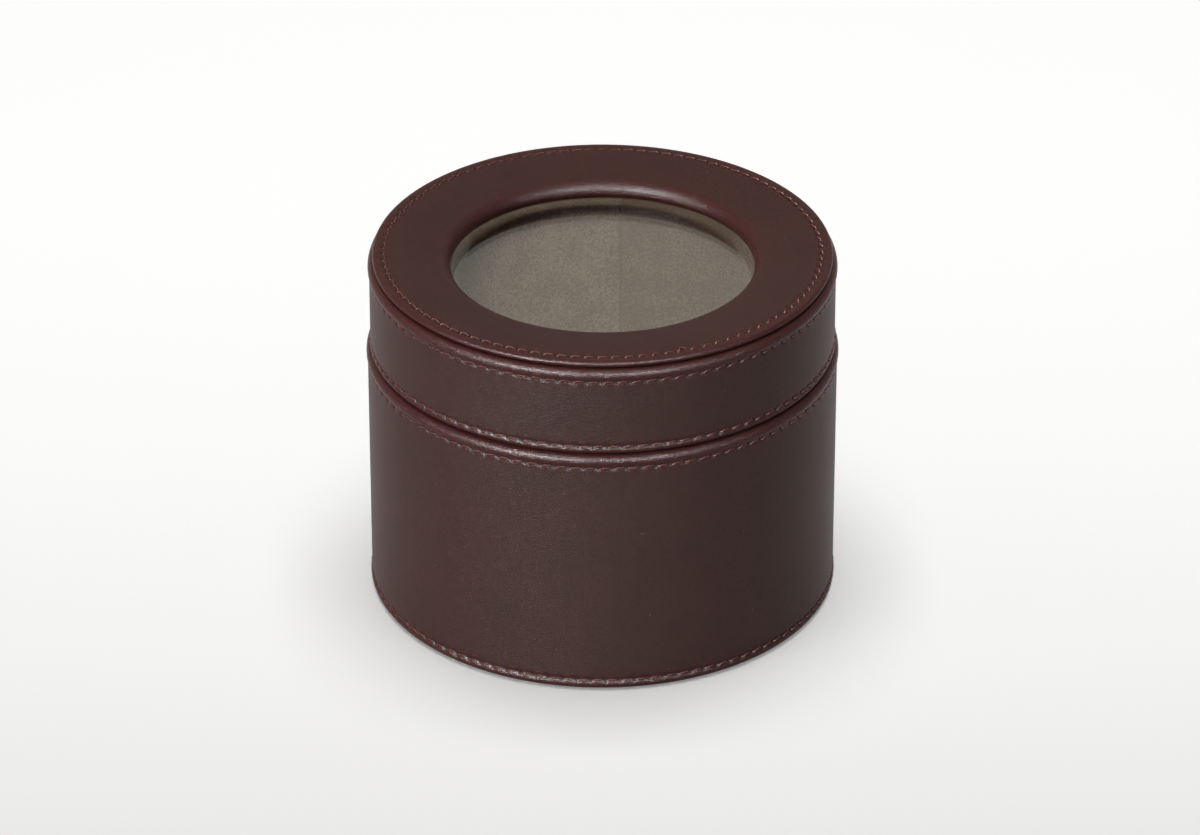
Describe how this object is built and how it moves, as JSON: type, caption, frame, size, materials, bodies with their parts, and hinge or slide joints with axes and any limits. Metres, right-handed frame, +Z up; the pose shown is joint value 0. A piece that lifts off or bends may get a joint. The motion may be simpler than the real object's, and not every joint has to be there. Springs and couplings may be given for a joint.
{
  "type": "round jewelry box",
  "caption": "Round leather-covered jewelry box with a suede-lined inside, an inner neck and a lift-off padded lid with a round glass window.",
  "frame": {"origin": "centre of the underside, where the box rests on a table", "axes": "+Z up along the box's round axis and the lid's lift; -Y is the front as pictured, +Y the back, where the butt seams are"},
  "size_m": [0.122, 0.122, 0.0952],
  "materials": {
    "leather": "satin dark brown, fine grain",
    "thread": "waxed reddish-brown sewing thread",
    "suede": "taupe microsuede",
    "board": "grey box board, matte",
    "foam": "soft white foam",
    "felt": "dark felt",
    "glass": "clear pane"
  },
  "bodies": {
    "body": {"underside_felt": "felt", "base_board": "board", "wall_board": "board", "wall_leather": "leather", "neck_sleeve": "board", "wall_lining": "suede", "floor_foam": "foam", "floor_suede": "suede"},
    "lid": {"lid_hoop_board": "board", "lid_hoop_leather": "leather", "lid_side_lining": "suede", "lid_top_board": "board", "lid_top_foam": "foam", "lid_top_leather": "leather", "window_glass": "glass", "glass_spacer_ring": "board", "lid_ceiling_lining": "suede"}
  },
  "joints": [
    {"name": "lid_lift", "type": "slide", "parent": "body", "child": "lid", "axis": [0, 0, 1], "range_m": [0, 0.08]}
  ]
}
